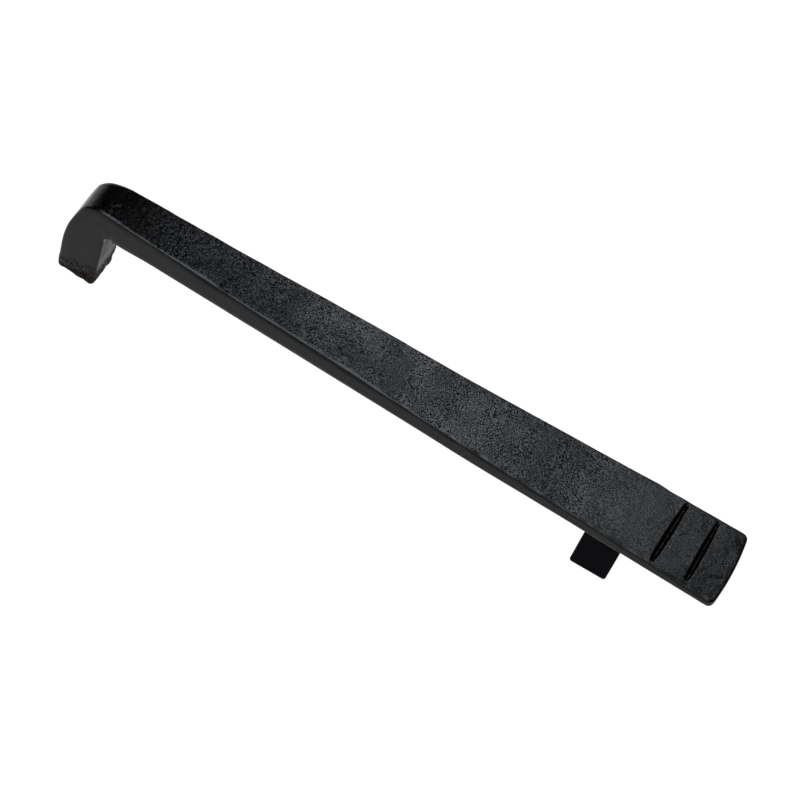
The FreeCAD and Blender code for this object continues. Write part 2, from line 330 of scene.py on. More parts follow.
@dataclass(frozen=True)
class TappedBore:
    """A tapped hole that opens downward, made of rings that continue a loft.

    Attributes:
        x: Axis of the hole along the bar.
        depth: From the mouth to the end of the full thread.
        minor: Radius at the thread's crests.
        major: Radius at the thread's roots.
        pitch: Distance from crest to crest.
        face_rings: Rings from the mouth out to the rim of the foot's face.
    """

    x: float
    depth: float
    minor: float
    major: float
    pitch: float = 1.0
    face_rings: int = 7

    def circle(self, edge: Array, radius: Array | float, z: float) -> Array:
        """A round ring whose points lie in the directions of another ring's points."""
        angle = np.arctan2(edge[:, 1], edge[:, 0] - self.x)
        height = np.full_like(angle, z)
        return np.stack([self.x + radius * np.cos(angle), radius * np.sin(angle), height], axis=-1)

    def thread(self, edge: Array) -> list[Array]:
        """Rings of the threaded wall, from its deep end down to the mouth."""
        angle = np.arctan2(edge[:, 1], edge[:, 0] - self.x)
        steps = int(4 * self.depth / self.pitch)
        wall = []
        for k in range(steps, -1, -1):
            z = self.depth * k / steps
            groove = 1.0 - np.abs(2.0 * ((z / self.pitch + angle / TURN) % 1.0) - 1.0)
            run_out = ease(0.0, self.pitch, np.array(self.depth - z))
            wall.append(self.circle(edge, self.minor + (self.major - self.minor) * groove * run_out, z))
        return wall

    def drill_cone(self, edge: Array, height: float) -> list[Array]:
        """Rings of the cone that the drill left above the thread, the highest first."""
        shares = (0.03, 0.35, 0.7)
        return [self.circle(edge, self.minor * s, self.depth + height * (1.0 - s)) for s in shares]

    def foot_face(self, edge: Array) -> list[Array]:
        """Rings of the flat face between the countersunk mouth and the rim."""
        mouth = self.circle(edge, self.major + 0.35, 0.0)
        return [mouth + (edge - mouth) * k / self.face_rings for k in range(self.face_rings)]


def build_mesh(
    name: str, section: Section, rings: Array, closed: bool, layers: dict[str, Array]
) -> Piece:
    """Skin a stack of rings as one closed mesh.

    Args:
        name: Name of the piece.
        section: The section that the rings were cut from.
        rings: Points in millimetres, as stations by ring points by three.
        closed: True where the last ring joins the first; otherwise both ends are zipped shut.
        layers: Values per point, kept as float attributes for the finish to read.

    Returns:
        The new object, in metres, linked to the scene.
    """
    stations, around = rings.shape[:2]
    index = np.arange(stations * around).reshape(stations, around)
    lower = index if closed else index[:-1]
    upper = np.roll(index, -1, axis=0) if closed else index[1:]
    quads = np.stack([lower, upper, np.roll(upper, -1, axis=1), np.roll(lower, -1, axis=1)], axis=-1)
    faces = quads.reshape(-1, 4).tolist()
    if not closed:
        faces.extend(section.zipped(index[0]))
        faces.extend(face[::-1] for face in section.zipped(index[-1]))
    mesh = bpy.data.meshes.new(name)
    mesh.from_pydata((rings.reshape(-1, 3) * MM).tolist(), [], faces)
    mesh.polygons.foreach_set("use_smooth", [True] * len(mesh.polygons))
    for layer, values in layers.items():
        attribute = mesh.attributes.new(layer, "FLOAT", "POINT")
        attribute.data.foreach_set("value", values.reshape(-1).astype(np.float32))
    mesh.update()
    piece = bpy.data.objects.new(name, mesh)
    bpy.context.scene.collection.objects.link(piece)
    return piece


# ------------------------------------------------------------------ marks in the iron


@dataclass(frozen=True)
class PitField:
    """Pits and blisters that scale leaves in the skin of hot iron.

    Attributes:
        count: How many are tried.
        smallest: Least radius.
        largest: Greatest radius, at the heel, where the iron was worked hottest.
        depth: Depth of a pit as a share of its radius.
        seed: Picks the scatter.
    """

    count: int = 2400
    smallest: float = 0.40
    largest: float = 1.15
    depth: float = 0.30
    seed: int = 11

    def crowding(self, along: Array, across: Array) -> Array:
        """Share of the tried pits that are kept at a place.

        Args:
            along: Distance from the back of the leg.
            across: From -1 at the near edge to 1 at the far edge.
        """
        heel = ease(110.0, 15.0, along)
        near_ridge = ease(0.2, -0.8, across) * ease(150.0, 60.0, along)
        tip = ease(185.0, 215.0, along)
        bend = ease(28.0, 14.0, along)
        return np.clip(0.34 + 0.22 * heel + 0.20 * near_ridge - 0.22 * tip - 0.45 * bend, 0.0, 1.0)

    def heights(self, along: Array, across: Array, points: Array) -> Array:
        """Rise of the outer flat at its points.

        Args:
            along: Distance from the back of the leg at each station.
            across: Share of the half width at each point of the flat, stations by points.
            points: The flat's points in millimetres, stations by points by three.

        Returns:
            Heights in millimetres, stations by points.
        """
        rng = np.random.default_rng(self.seed)
        rise = np.zeros(points.shape[:2])
        wobble = Lumps(0.9, self.seed + 5).at(points)
        for _ in range(self.count):
            place, side, pick, draw, turn, stretch, kind = rng.random(7)
            place = along[0] + place * (along[-1] - along[0])
            side = 2.0 * side - 1.0
            if pick > float(self.crowding(np.array(place), np.array(side))):
                continue
            reach = 0.45 + 0.55 * float(ease(110.0, 30.0, np.array(place)))
            radius = self.smallest + (self.largest * reach - self.smallest) * draw**2.6
            first, last = np.searchsorted(along, (place - 2 * radius, place + 2 * radius))
            if last - first < 2:
                continue
            row = (first + last) // 2
            column = int(np.argmin(np.abs(across[row] - side)))
            offset = points[first:last] - points[row, column]
            flat = np.stack([np.hypot(offset[..., 0], offset[..., 2]), offset[..., 1]], axis=-1)
            flat[..., 0] *= np.sign(np.arange(first, last) - row)[:, None]
            cosine, sine = math.cos(turn * math.pi), math.sin(turn * math.pi)
            long_way = flat[..., 0] * cosine + flat[..., 1] * sine
            short_way = flat[..., 1] * cosine - flat[..., 0] * sine
            distance = np.hypot(long_way / (1.0 + 0.7 * stretch), short_way) / radius
            distance = distance + 0.30 * wobble[first:last]
            bowl = np.clip(1.0 - distance**2, 0.0, 1.0) ** 2
            lip = np.exp(-(((distance - 1.15) / 0.25) ** 2))
            sign = 0.8 if kind > 0.74 else -1.0
            rise[first:last] += sign * self.depth * radius * (bowl - 0.28 * lip)
        return np.clip(rise, -0.75, 0.4)


@dataclass(frozen=True)
class Scar:
    """One mark of its own: a scratch, dent or shallow hollow in the outer flat.

    Attributes:
        start: Distance from the back of the leg and distance across, at one end.
        end: The same at the other end.
        width: Distance from the mark's middle line to its edge.
        depth: Depth along the middle line.
    """

    start: tuple[float, float]
    end: tuple[float, float]
    width: float
    depth: float

    def heights(self, along: Array, points: Array) -> Array:
        """Rise of the outer flat at its points, in millimetres."""
        place = np.stack([np.broadcast_to(along[:, None], points.shape[:2]), points[..., 1]], axis=-1)
        start, run = np.array(self.start), np.array(self.end) - np.array(self.start)
        share = np.clip(((place - start) @ run) / max(float(run @ run), 1e-9), 0.0, 1.0)
        distance = np.linalg.norm(place - start - share[..., None] * run, axis=-1) / self.width
        distance = distance + 0.25 * Lumps(0.8, 61).at(points)
        return -self.depth * np.clip(1.0 - distance**2, 0.0, 1.0) ** 1.5


@dataclass(frozen=True)
class Gouge:
    """A cut across the flat near the tip: a lens in plan, with steep walls and a narrow floor.

    Attributes:
        near_end: x and y of the end on the near side, which is rounded.
        far_end: x and y of the end on the far side, which is cut square.
        half_width: From the middle line to the wall's top, half way along.
        far_share: Width left at the far end, as a share of that.
        depth: Depth of the floor half way along.
        floor_share: Width of the floor, as a share of the mouth.
        fine_step: Spacing of the stations beside the gouge, so that its walls are sharp.
        coarse_step: Spacing of the stations elsewhere.
    """

    near_end: tuple[float, float]
    far_end: tuple[float, float]
    half_width: float
    far_share: float
    depth: float
    floor_share: float = 0.07
    fine_step: float = 0.19
    coarse_step: float = 0.52

    def profile(self, points: Array) -> tuple[Array, Array]:
        """Depth of the floor abreast of each point, and the share of it that the point is sunk."""
        (x0, y0), (x1, y1) = self.near_end, self.far_end
        share = (points[..., 1] - y0) / (y1 - y0)
        middle = x0 + (x1 - x0) * share
        bulge = np.clip(1.0 - (2.0 * share - 1.0) ** 2, 0.0, 1.0)
        square_end = self.far_share * ease(0.5, 0.9, share) * ease(1.012, 0.995, share)
        fullness = np.where(share < 0.5, 0.20, 0.40)
        width = self.half_width * np.maximum(bulge**fullness, square_end)
        wall = 1.0 - np.abs(points[..., 0] - middle) / np.maximum(width, 1e-6)
        floor = self.depth * np.clip(width / self.half_width, 0.0, 1.0) ** 0.8
        return floor, np.clip(wall / (1.0 - self.floor_share), 0.0, 1.0)

    def heights(self, points: Array) -> Array:
        """Rise of the outer flat at its points, in millimetres."""
        floor, sunk = self.profile(points)
        return -floor * sunk

    def walls(self, points: Array) -> Array:
        """One on the two walls, zero on the floor and outside."""
        sunk = self.profile(points)[1]
        return ease(0.02, 0.25, sunk) * (sunk < 1.0)

    def step(self, x: float) -> float:
        """Spacing of the stations that the walls need at x."""
        low, high = sorted((self.near_end[0], self.far_end[0]))
        reach = self.half_width + 0.5
        return self.fine_step if low - reach < x < high + reach else self.coarse_step


# ------------------------------------------------------------------ finishes


def add_node(
    tree: bpy.types.NodeTree, kind: str, settings: dict[str | int, Any], links: dict[str | int, Socket]
) -> Node:
    """Add a node with its settings and links.

    Args:
        tree: The node tree.
        kind: The node's type name.
        settings: Values of the node's properties, or of its inputs where no property has the name.
        links: Output sockets to join to its inputs.  Both give an input by name or by number.

    Returns:
        The new node.
    """
    node = tree.nodes.new(kind)
    for name, value in settings.items():
        if isinstance(name, str) and hasattr(node, name):
            setattr(node, name, value)
        else:
            node.inputs[name].default_value = value
    for name, source in links.items():
        tree.links.new(source, node.inputs[name])
    return node


class Finish:
    """A material being made: its node tree, its one shader and the object's own coordinates."""

    def __init__(self, name: str) -> None:
        """Start with an empty tree, the shader and the coordinates, which are in metres."""
        self.material = bpy.data.materials.new(name)
        self.material.use_nodes = True
        self.tree = self.material.node_tree
        self.tree.nodes.clear()
        self.shader = add_node(self.tree, "ShaderNodeBsdfPrincipled", {}, {})
        surface = {"Surface": self.shader.outputs["BSDF"]}
        add_node(self.tree, "ShaderNodeOutputMaterial", {}, surface).is_active_output = True
        self.place = add_node(self.tree, "ShaderNodeTexCoord", {}, {}).outputs["Object"]

    def fix(self, **values: Any) -> None:
        """Set shader inputs that are the same all over; an underscore stands for a space."""
        for name, value in values.items():
            self.shader.inputs[name.replace("_", " ")].default_value = value

    def feed(self, name: str, source: Socket) -> None:
        """Join an output to one of the shader's inputs."""
        self.tree.links.new(source, self.shader.inputs[name])


@dataclass(frozen=True)
class BakedPaintOnForging:
    """Baked black paint, sprayed thin over forged iron that keeps its scale pits.

    The paint is a dull black with a soft, slightly cold sheen.  It pools a little smoother in the broad
    dents, stays dry and grainy on the pitted skin, and shows brown iron where the foot has worn.
    Its sheen is cut on the worn foot, and, as painted shade, on the top over the bend and on the gouge
    walls.

    Attributes:
        paint: Colour of the paint.
        dusty_paint: Colour where the paint is thin on the high grain.
        rust: Colour of bare iron that has begun to rust.
        sheen_tint: Colour of the paint's reflection.
        spray_mm: Grain of the dry spray; the real one is finer and is drawn this coarse to show.
        scale_mm: Size of the small scale marks between the pits that the mesh carries.
        patch_mm: Size of the broad patches in which the paint lies thicker or thinner.
        spray_depth_mm: Relief of the spray grain.
        scale_depth_mm: Relief of the scale marks.
    """

    paint: str = "#020202"
    dusty_paint: str = "#040405"
    rust: str = "#26180f"
    sheen_tint: str = "#eff5fa"
    spray_mm: float = 0.45
    scale_mm: float = 2.2
    patch_mm: float = 16.0
    spray_depth_mm: float = 0.045
    scale_depth_mm: float = 1.25

    def material(self) -> Material:
        """Build the node tree."""
        made = Finish("baked_black_paint_on_forged_iron")
        made.fix(IOR=1.5, Specular_Tint=linear_from_hex(self.sheen_tint))
        tree = made.tree
        level = {}
        for name, size_mm, detail, rough in (
            ("spray", self.spray_mm, 2.0, 0.6),
            ("scale", self.scale_mm, 4.0, 0.68),
            ("broad", self.patch_mm, 2.0, 0.55),
        ):
            settings = {"Scale": 1.0 / (size_mm * MM), "Detail": detail, "Roughness": rough}
            noise = add_node(tree, "ShaderNodeTexNoise", settings, {"Vector": made.place})
            level[name] = noise.outputs["Fac"]
        for name in ("pitting", "worn", "dry", "wear_and_painted_shade"):
            layer = add_node(tree, "ShaderNodeAttribute", {"attribute_name": name}, {})
            level[name] = layer.outputs["Fac"]
        for name, source, *limits in (
            ("dusty", "spray", 0.45, 0.70, 0.0, 1.0),
            ("flecked", "scale", 0.48, 0.66, 0.0, 1.0),
            ("sheen", "broad", 0.35, 0.65, 0.24, 0.29),
            ("chalky", "dry", 0.0, 1.0, 0.0, 0.55),
            ("even", "broad", 0.3, 0.7, 0.115, 0.135),
            ("speckled", "spray", 0.41, 0.59, 0.0, 0.28),
            ("rugged", "pitting", 0.0, 0.25, 0.15, 1.0),
            # The last layer cuts the sheen: real wear on the foot, and painted shade on the top over the
            # bend and the gouge walls.
            ("sheen_kept", "wear_and_painted_shade", 0.0, 1.0, 1.0, 0.12),
            ("patches", "broad", 0.42, 0.58, 0.65, 1.05),
            ("scaly", "pitting", 0.0, 1.0, 0.03, 1.0),
            ("grainy", "pitting", 0.0, 0.3, 0.25, 1.0),
        ):
            settings = dict(zip(RANGE_LIMITS, limits))
            level[name] = add_node(tree, "ShaderNodeMapRange", settings, {0: level[source]}).outputs[0]
        blend = {0: level["rugged"], 2: level["even"], 3: level["speckled"]}
        level["glint"] = add_node(tree, "ShaderNodeMix", {}, blend).outputs[0]
        for name, operation, first, second in (
            ("bare", "MULTIPLY", "worn", "flecked"),
            ("roughness", "MAXIMUM", "sheen", "chalky"),
            ("reflectance", "MULTIPLY", "glint", "sheen_kept"),
            ("scale_share", "MULTIPLY", "scaly", "patches"),
            ("scale_relief", "MULTIPLY", "scale_share", "scale"),
            ("spray_relief", "MULTIPLY", "grainy", "spray"),
        ):
            pair = {0: level[first], 1: level[second]}
            level[name] = add_node(tree, "ShaderNodeMath", {"operation": operation}, pair).outputs[0]
        made.feed("Roughness", level["roughness"])
        made.feed("Specular IOR Level", level["reflectance"])

        paint, dusty_paint, rust = map(linear_from_hex, (self.paint, self.dusty_paint, self.rust))
        settings = {"data_type": "RGBA", 6: paint, 7: dusty_paint}
        tint = add_node(tree, "ShaderNodeMix", settings, {0: level["dusty"]}).outputs[2]
        settings = {"data_type": "RGBA", 7: rust}
        tint = add_node(tree, "ShaderNodeMix", settings, {0: level["bare"], 6: tint}).outputs[2]
        made.feed("Base Color", tint)

        settings = {"Distance": self.scale_depth_mm * MM, "Strength": 1.0}
        scaled = add_node(tree, "ShaderNodeBump", settings, {"Height": level["scale_relief"]})
        settings = {"Distance": self.spray_depth_mm * MM, "Strength": 1.0}
        links = {"Height": level["spray_relief"], "Normal": scaled.outputs["Normal"]}
        made.feed("Normal", add_node(tree, "ShaderNodeBump", settings, links).outputs["Normal"])
        return made.material


@dataclass(frozen=True)
class BakedPaintOnDrawnBar:
    """The same black paint over smooth drawn bar: even, deep and rougher, its sheen cut almost away as
    painted shade.
    """

    paint: str = "#09090b"
    spray_mm: float = 0.6

    def material(self) -> Material:
        """Build the node tree."""
        made = Finish("baked_black_paint_on_drawn_bar")
        # Near-zero specular level: painted shade, standing in for the shade under the bar's overhang.
        made.fix(Base_Color=linear_from_hex(self.paint), IOR=1.5, Specular_IOR_Level=0.004)
        settings = {"Scale": 1.0 / (self.spray_mm * MM), "Detail": 2.0, "Roughness": 0.55}
        noise = add_node(made.tree, "ShaderNodeTexNoise", settings, {"Vector": made.place})
        spray = noise.outputs["Fac"]
        settings = dict(zip(RANGE_LIMITS, (0.3, 0.7, 0.48, 0.60)))
        sheen = add_node(made.tree, "ShaderNodeMapRange", settings, {0: spray})
        made.feed("Roughness", sheen.outputs["Result"])
        settings = {"Distance": 0.05 * MM, "Strength": 0.6}
        bump = add_node(made.tree, "ShaderNodeBump", settings, {"Height": spray})
        made.feed("Normal", bump.outputs["Normal"])
        return made.material


@dataclass(frozen=True)
class ZincPlatedThread:
    """Rolled steel thread with bright zinc plate: pale grey metal, banded once each pitch."""

    zinc: str = "#b4b6b4"
    haze_mm: float = 0.8
    pitch_mm: float = 1.0

    def material(self) -> Material:
        """Build the node tree."""
        made = Finish("zinc_plated_rolled_thread")
        made.fix(Base_Color=linear_from_hex(self.zinc), Metallic=1.0)
        settings = {"Scale": 1.0 / (self.haze_mm * MM), "Detail": 2.0, "Roughness": 0.55}
        haze = add_node(made.tree, "ShaderNodeTexNoise", settings, {"Vector": made.place})
        settings = dict(zip(RANGE_LIMITS, (0.3, 0.7, 0.24, 0.38)))
        sheen = add_node(made.tree, "ShaderNodeMapRange", settings, {0: haze.outputs["Fac"]})
        made.feed("Roughness", sheen.outputs["Result"])
        # The bands of this texture repeat every pi / 10 divided by its scale.
        scale = math.pi / (10.0 * self.pitch_mm * MM)
        settings = {"bands_direction": "Z", "wave_profile": "TRI", "Scale": scale}
        bands = add_node(made.tree, "ShaderNodeTexWave", settings, {"Vector": made.place})
        settings = {"Distance": 0.5 * MM, "Strength": 1.0}
        bump = add_node(made.tree, "ShaderNodeBump", settings, {"Height": bands.outputs["Fac"]})
        made.feed("Normal", bump.outputs["Normal"])
        return made.material


@dataclass(frozen=True)
class GroundDowelSteel:
    """Hardened steel ground on centres: a darker grey metal with very fine lines round it."""

    steel: str = "#8d8f92"
    line_mm: float = 0.12

    def material(self) -> Material:
        """Build the node tree."""
        made = Finish("ground_hardened_steel")
        made.fix(Base_Color=linear_from_hex(self.steel), Metallic=1.0)
        settings = {"Scale": (0.02, 0.02, 1.0)}
        stretch = add_node(made.tree, "ShaderNodeMapping", settings, {"Vector": made.place})
        settings = {"Scale": 1.0 / (self.line_mm * MM), "Detail": 2.0}
        links = {"Vector": stretch.outputs["Vector"]}
        lines = add_node(made.tree, "ShaderNodeTexNoise", settings, links).outputs["Fac"]
        settings = dict(zip(RANGE_LIMITS, (0.3, 0.7, 0.16, 0.28)))
        sheen = add_node(made.tree, "ShaderNodeMapRange", settings, {0: lines})
        made.feed("Roughness", sheen.outputs["Result"])
        settings = {"Distance": 0.004 * MM, "Strength": 0.5}
        bump = add_node(made.tree, "ShaderNodeBump", settings, {"Height": lines})
        made.feed("Normal", bump.outputs["Normal"])
        return made.material


def dress(piece: Piece, material: Material) -> None:
    """Give a piece one finish."""
    piece.data.materials.clear()
    piece.data.materials.append(material)


# ------------------------------------------------------------------ the handle's pieces


@dataclass
class GripBar:
    """The forged bar: a square leg, the bend, and the flat that thins and widens to the tip.

    Attributes:
        leg_thickness: Leg, measured along the bar.
        heel_width: Width across the back of the leg.
        tip_width: Width across the tip.
        clearance: Underside above the mounting plane.
        heel_height: Top over the back of the leg, where its line is carried on.
        tip_height: Top at the tip.
        shoulder_height: Where the back of the leg starts to lean.
        shoulder_lean: How far the leg leans by its top.
        shoulder_radius: First, slow part of the bend's outside.
        brow_radius: Second, quick part of the bend's outside.
        armpit_radius: Inside of the bend.
        tip_bow: How far the end face bulges.
        tip_corner: Plan radius of the tip's corners.
        tip_edge: Radius round the rim of the end face.
        foot_round: Radius worn round the foot's rim.
        bore: Minor and major radius and depth of the foot's thread.
        leg_step: Spacing of the stations up the leg.
        bend_stations: How many stations go round the bend.
    """

    leg_thickness: float = 14.9
    heel_width: float = 13.6
    tip_width: float = 31.5
    clearance: float = 29.8
    heel_height: float = 41.4
    tip_height: float = 32.9
    shoulder_height: float = 23.0
    shoulder_lean: float = 5.5
    shoulder_radius: float = 44.0
    brow_radius: float = 8.6
    armpit_radius: float = 3.0
    tip_bow: float = 1.0
    tip_corner: float = 2.2
    tip_edge: float = 0.75
    foot_round: float = 1.2
    bore: tuple[float, float, float] = (2.5, 3.0, 16.0)
    leg_step: float = 0.55
    bend_stations: int = 54
    section: Section = field(default_factory=Section)
    pits: PitField = field(default_factory=PitField)

    def __post_init__(self) -> None:
        """Read the bar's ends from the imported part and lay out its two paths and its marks."""
        low, high = cad_box_mm("grip_bar")
        post_low, post_high = cad_box_mm("standoff_post")
        self.heel, self.tip = float(low[0]), float(high[0])
        self.leg_axis = self.heel + self.leg_thickness / 2
        self.post_axis = float(post_low[0] + post_high[0]) / 2
        inner_x = self.heel + self.leg_thickness
        self.inner_path = RoundedPath(
            [(inner_x, 0.0), (inner_x, self.clearance), (self.tip, self.clearance)],
            [self.armpit_radius],
        )
        corners = [
            (self.heel, 0.0),
            (self.heel, self.shoulder_height),
            (self.heel + self.shoulder_lean, self.heel_height),
            (self.tip, self.tip_height),
        ]
        self.outer_path = RoundedPath(corners, [self.shoulder_radius, self.brow_radius])
        self.gouges = (
            Gouge((self.tip - 25.4, -13.3), (self.tip - 24.1, 13.1), 1.34, 0.74, 1.60),
            Gouge((self.tip - 12.4, -13.0), (self.tip - 12.0, 13.6), 1.26, 0.60, 1.50),
        )
        self.scars = (
            Scar((56.6, -6.8), (58.4, -7.6), 1.6, 0.60),
            Scar((96.5, -1.2), (105.5, 1.2), 0.60, 0.16),
            Scar((101.0, 2.2), (109.0, 0.6), 3.6, 0.26),
            Scar((155.0, -7.9), (158.5, -3.7), 0.6, 0.16),
            Scar((118.0, 4.0), (121.0, 6.5), 0.8, 0.16),
            Scar((27.0, 1.5), (31.5, -1.0), 0.9, 0.24),
            Scar((41.0, -4.5), (45.0, -6.4), 0.8, 0.26),
            Scar((67.0, -8.2), (72.5, -8.8), 0.9, 0.26),
            Scar((247.5, -6.6), (250.5, -5.6), 0.8, 0.16),
        )
        self.near_wave = Knots((0, 30, 85, 130, 160, 200, 251), (0.0, 0.1, 0.25, 0.35, 0.5, 0.15, 0.0))
        self.far_wave = Knots((60, 90, 150, 217, 223, 235, 247), (0.2, 0.4, 0.15, 0.75, 0.3, 0.3, 0.0))
        self.top_wave = Knots((10, 25, 60, 110, 200, 240), (0.2, 0.1, -0.1, 0.05, 0.05, 0.15))
        self.under_wave = Knots(
            (20, 35, 60, 95, 150, 190, 220, 250), (-0.7, 0.1, 0.5, 0.9, 0.1, 0.1, 0.1, 0.0)
        )

    def half_width(self, x: Array) -> Array:
        """Half of the bar's width at x, before the edges' waves."""
        share = (x - self.heel) / (self.tip - self.heel)
        return (self.heel_width + (self.tip_width - self.heel_width) * share) / 2

    def stations(self) -> tuple[Array, Array]:
        """Lengths along the inner and the outer path, station by station."""
        armpit_start = self.clearance - self.armpit_radius
        rising = np.arange(self.foot_round, armpit_start, self.leg_step)
        leg = np.concatenate([rim_depths(self.foot_round), rising])
        armpit_x = self.heel + self.leg_thickness + self.armpit_radius
        inner_bend = self.inner_path.length_at(0, armpit_x)
        outer_bend = self.outer_path.length_at(0, armpit_x)
        outer_start = self.outer_path.length_at(1, armpit_start)
        share = np.linspace(0.0, 1.0, self.bend_stations)
        xs = [armpit_x]
        last = self.tip - self.tip_corner
        while xs[-1] < last:
            xs.append(xs[-1] + min(gouge.step(xs[-1]) for gouge in self.gouges))
        left = [self.tip_corner * (1 - math.sin(k * TURN / 40)) ** 1.4 for k in range(1, 11)]
        xs = np.array([x for x in xs if x < last] + [self.tip - length for length in left])
        fall = self.outer_path.points[-1] - self.outer_path.points[-2]
        outer_scale = float(np.linalg.norm(fall) / fall[0])
        bend = armpit_start + (inner_bend - armpit_start) * share
        inner = np.concatenate([leg, bend, inner_bend + (xs[1:] - armpit_x)])
        bend = outer_start + (outer_bend - outer_start) * share
        outer = np.concatenate([leg, bend, outer_bend + (xs[1:] - armpit_x) * outer_scale])
        return inner, outer

    def plain_rings(self) -> tuple[Array, Array]:
        """The bar before any dent: its rings, and each station's distance from the back of the leg."""
        inner_length, outer_length = self.stations()
        inner, outer = self.inner_path.at(inner_length), self.outer_path.at(outer_length)
        along = outer[:, 0] - self.heel
        outer[:, 1] += self.top_wave.at(along)
        near = self.half_width(outer[:, 0]) + self.near_wave.at(along)
        far = self.half_width(outer[:, 0]) + self.far_wave.at(along)
        left = self.tip - outer[:, 0]
        foot_inset = rounding(self.foot_round, inner_length)
        corner_inset = rounding(self.tip_corner, left)
        edge_inset = rounding(self.tip_edge, left)
        near, far = near - foot_inset - corner_inset, far - foot_inset - corner_inset
        across = (outer - inner) / np.linalg.norm(outer - inner, axis=1)[:, None]
        inner = inner + across * (foot_inset + edge_inset)[:, None]
        outer = outer - across * (foot_inset + edge_inset)[:, None]
        rings = self.section.rings(inner, outer, near, far, self.corner_radii(along, outer_length))
        flare = self.half_width(rings[..., 0]) / self.half_width(outer[:, 0])[:, None]
        on_leg = ease(18.0, 10.0, along)[:, None]
        rings[..., 1] *= 1.0 + (flare - 1.0) * on_leg
        bow = self.tip_bow * ease(self.tip - 26.0, self.tip, outer[:, 0])[:, None]
        rings[..., 0] -= bow * (rings[..., 1] / (self.tip_width / 2)) ** 2
        return rings, along

    def corner_radii(self, along: Array, outer_length: Array) -> CornerRadii:
        """Radii of the long edges, which the hammer left uneven."""
        walk = np.stack([outer_length, np.zeros_like(along), np.zeros_like(along)], axis=-1)
        flattened = ease(18.0, 45.0, along) * ease(130.0, 90.0, along)
        near = 1.0 + 0.35 * Lumps(7.0, 21, 2).at(walk) + 0.45 * flattened
        far = 0.65 + 0.2 * Lumps(9.0, 22, 2).at(walk)
        brow = ease(2.0, 5.0, along) * ease(16.0, 9.0, along) * ease(20.0, 30.0, outer_length)
        foot = 0.9 * ease(5.0, 0.5, outer_length)
        return CornerRadii(near + foot, far + foot + 1.5 * brow, 0.65 + foot)

    def dented(self, rings: Array, along: Array) -> tuple[Array, dict[str, Array]]:
        """Work the dents, pits, scars and gouges into the bar.

        Args:
            rings: The plain bar.
            along: Each station's distance from the back of the leg.

        Returns:
            The finished rings, and the layers "pitting", "worn", "dry" and "soot" for the finish.
        """
        normal = grid_normals(rings)
        upward = np.clip(normal[..., 2], 0.0, 1.0)
        on_flat = ease(8.0, 30.0, along)[:, None] * ease(0.55, 0.95, upward)
        ragged = 1.6 * Lumps(4.0, 31, 2).at(rings) - 0.3 * (rings[..., 0] - self.leg_axis)
        worn = ease(9.0, 2.5, rings[..., 2] + ragged)
        worn = worn * ease(30.0, 20.0, along)[:, None]
        sheltered = ease(0.3, 0.7, normal[..., 0]) * ease(40.0, 20.0, along)[:, None]
        sheltered *= 0.82 + 0.20 * Lumps(6.0, 33, 2).at(rings)
        dry = np.maximum(np.maximum(sheltered, worn), ease(-0.3, -0.8, normal[..., 2]))
        rise = 0.12 * Lumps(17.0, 1, 2).at(rings) * (0.3 + 0.7 * on_flat)
        rise += 0.07 * Lumps(5.5, 2, 2).at(rings) * (0.2 + 0.8 * on_flat)
        rise += 0.03 * Lumps(1.7, 3).at(rings) * (0.25 + 0.75 * on_flat)
        rise += worn * (0.40 * Lumps(2.4, 4, 3).at(rings) - 0.10)
        top = slice(0, self.section.across + 1)
        flat = rings[:, top]
        reach = np.abs(flat[:, -1, 1] - flat[:, 0, 1])[:, None] / 2
        across = (flat[..., 1] - flat[:, :1, 1]) / reach - 1.0
        bar = np.flatnonzero(along > 6.5)
        field_rise = np.zeros(flat.shape[:2])
        field_rise[bar] = self.pits.heights(along[bar], across[bar], flat[bar])
        for scar in self.scars:
            field_rise += scar.heights(along, flat) * (along > 4.0)[:, None]
        rise[:, top] += field_rise
        pitting = worn.copy()
        crowd = self.pits.crowding(along[:, None], across)
        pitting[:, top] = np.maximum(worn[:, top], crowd * ease(2.0, 10.0, along)[:, None])
        seat = ease(12.0, 9.0, np.abs(rings[..., 0] - self.post_axis)) * ease(-0.5, -0.9, normal[..., 2])
        rise *= 1.0 - seat * (along > 30.0)[:, None]
        finished = rings + normal * rise[..., None]
        lifted = self.under_wave.at(along)[:, None] * ease(0.5, 1.0, np.abs(rings[..., 1]) / reach)
        finished[..., 2] += lifted * ease(-0.2, -0.8, normal[..., 2]) * (along > 16.0)[:, None]
        # This layer cuts the paint's sheen: on the worn foot for real wear, and as painted shade on the
        # top over the bend.
        wear_and_painted_shade = 0.6 * worn
        painted_bend_shade = 0.75 * ease(46.0, 18.0, along)[:, None] * ease(0.78, 0.94, upward[:, top])
        wear_and_painted_shade[:, top] = np.maximum(wear_and_painted_shade[:, top], painted_bend_shade)
        # The gouge walls get the same cut sheen as painted shade, standing in for the shade inside the
        # cuts.
        for gouge in self.gouges:
            wear_and_painted_shade[:, top] = np.maximum(wear_and_painted_shade[:, top], gouge.walls(finished[:, top]))
            finished[:, top, 2] += gouge.heights(finished[:, top])
        finished[..., 2] = np.maximum(finished[..., 2], 0.0)
        chipped = 0.7 * ease(1.0, 0.3, self.tip - self.heel - along)[:, None]
        worn = np.maximum(worn, chipped)
        return finished, {"pitting": pitting, "worn": worn, "dry": dry, "wear_and_painted_shade": wear_and_painted_shade}

